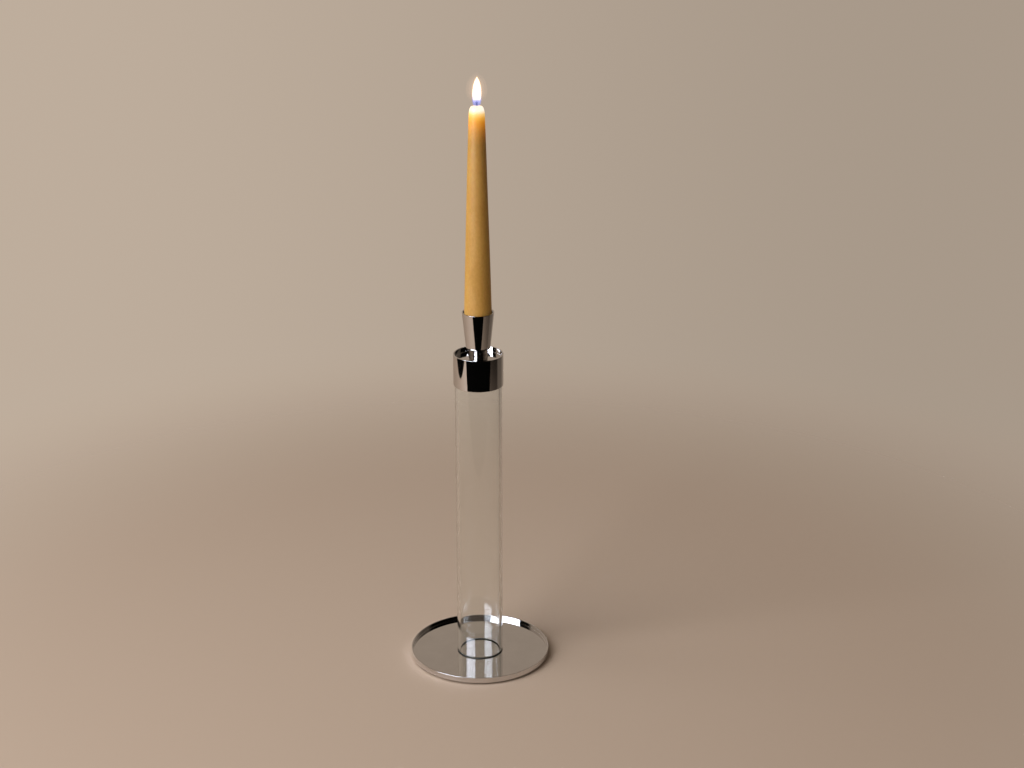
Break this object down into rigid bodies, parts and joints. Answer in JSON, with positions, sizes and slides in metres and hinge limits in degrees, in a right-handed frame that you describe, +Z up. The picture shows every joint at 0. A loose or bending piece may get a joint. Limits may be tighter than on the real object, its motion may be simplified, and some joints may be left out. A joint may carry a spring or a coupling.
{
  "type": "glass tube candlestick",
  "caption": "Glass tube candlestick on a shallow round metal tray, with a metal cap and a conical cup holding a tapered candle.",
  "frame": {"origin": "centre of the underside of the foot pad, on the surface that the candlestick stands on", "axes": "+Z up along the axis of the tray, tube, cap, cup and candle; +X to the right and +Y away from the front, and the part is the same all round"},
  "size_m": [0.12, 0.12, 0.4933],
  "materials": {
    "polished_nickel": "mirror-polished nickel plate",
    "clear_glass": "clear drawn glass tube with fire-polished ends",
    "black_pad": "matt black anti-slip pad",
    "black_silicone": "satin smoky black silicone",
    "zinc_steel": "zinc-plated steel",
    "beeswax": "ochre beeswax with a satin surface",
    "charred_cotton": "braided cotton, charred at the tip"
  },
  "bodies": {
    "stand": {"foot_pad": "black_pad", "base_tray": "polished_nickel", "seat_ring": "black_silicone", "glass_tube": "clear_glass"},
    "top": {"cap": "polished_nickel", "cap_gasket": "black_silicone", "screw_washer": "zinc_steel", "cup_screw": "zinc_steel", "candle_cup": "polished_nickel"},
    "candle_set": {"candle": "beeswax", "wick": "charred_cotton"}
  },
  "joints": [
    {"name": "cap_lift", "type": "slide", "parent": "stand", "child": "top", "axis": [0, 0, 1], "range_m": [0, 0.04]},
    {"name": "candle_lift", "type": "slide", "parent": "top", "child": "candle_set", "axis": [0, 0, 1], "range_m": [0, 0.06]}
  ]
}
